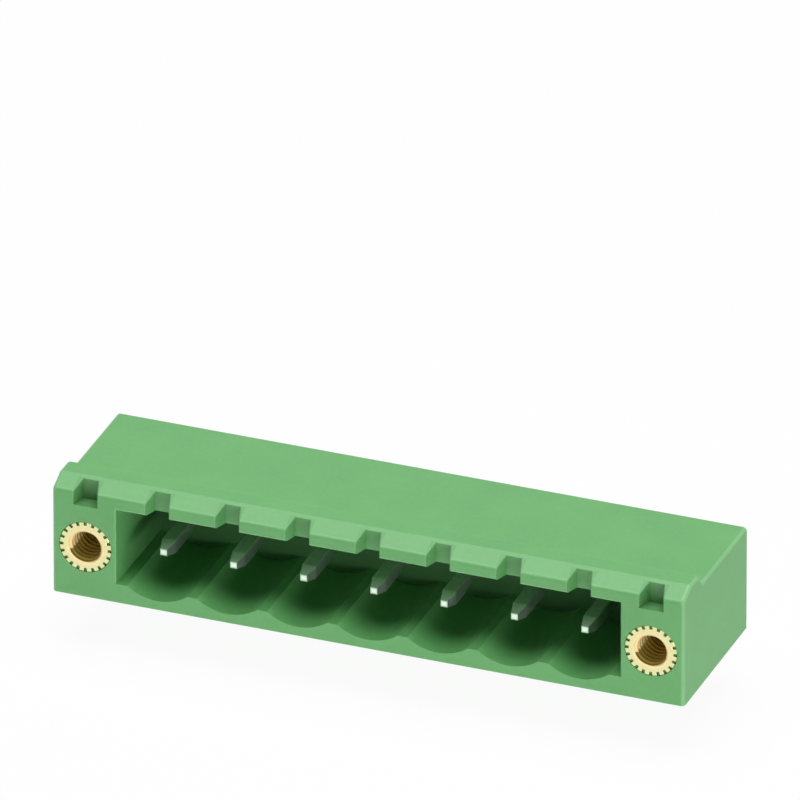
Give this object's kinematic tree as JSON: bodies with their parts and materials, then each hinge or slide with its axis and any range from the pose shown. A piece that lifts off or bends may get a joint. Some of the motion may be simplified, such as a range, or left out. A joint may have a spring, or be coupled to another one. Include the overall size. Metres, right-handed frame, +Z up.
{
  "type": "pin header",
  "caption": "Right-angle pin header for a circuit board, with a scalloped plug socket, bent square pins and threaded brass inserts in its end flanges.",
  "frame": {"origin": "middle of the housing's underside, on the board face", "axes": "+X along the row of pins, -Y out of the socket's mouth, towards the plug, +Z up from the board"},
  "size_m": [0.0458, 0.012, 0.0125],
  "materials": {
    "housing_plastic": "satin moulded",
    "pin_tin": "matt tin plating",
    "insert_brass": "turned and knurled"
  },
  "bodies": {
    "root": {"housing": "housing_plastic", "pin_1": "pin_tin", "pin_2": "pin_tin", "pin_3": "pin_tin", "pin_4": "pin_tin", "pin_5": "pin_tin", "pin_6": "pin_tin", "pin_7": "pin_tin", "threaded_insert_left": "insert_brass", "threaded_insert_right": "insert_brass"}
  },
  "joints": []
}
